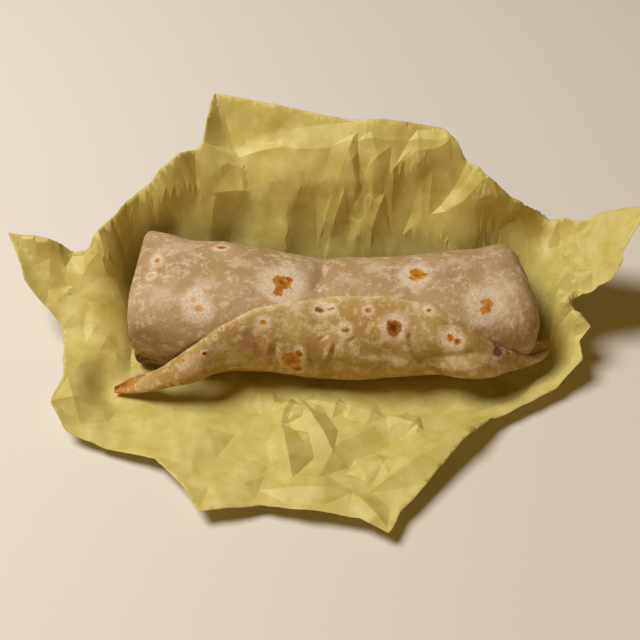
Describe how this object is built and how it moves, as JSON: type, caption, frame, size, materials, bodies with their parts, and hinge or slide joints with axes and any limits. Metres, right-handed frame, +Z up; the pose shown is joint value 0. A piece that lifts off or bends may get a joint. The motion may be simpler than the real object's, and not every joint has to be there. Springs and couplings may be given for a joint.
{
  "type": "burrito",
  "caption": "Rolled flour tortilla with a folded flap and two narrow tips, lying in its opened, crumpled paper wrapper.",
  "frame": {"origin": "on the underside of the paper, below the middle of the burrito", "axes": "+X along the burrito, -Y towards the loose flap, +Z up"},
  "size_m": [0.3195, 0.2112, 0.088],
  "materials": {
    "tortilla": "soft floury tortilla with toasted spots",
    "paper": "crumpled thin yellow wrapping paper"
  },
  "bodies": {
    "root": {"burrito": "tortilla", "wrapper": "paper"}
  },
  "joints": []
}
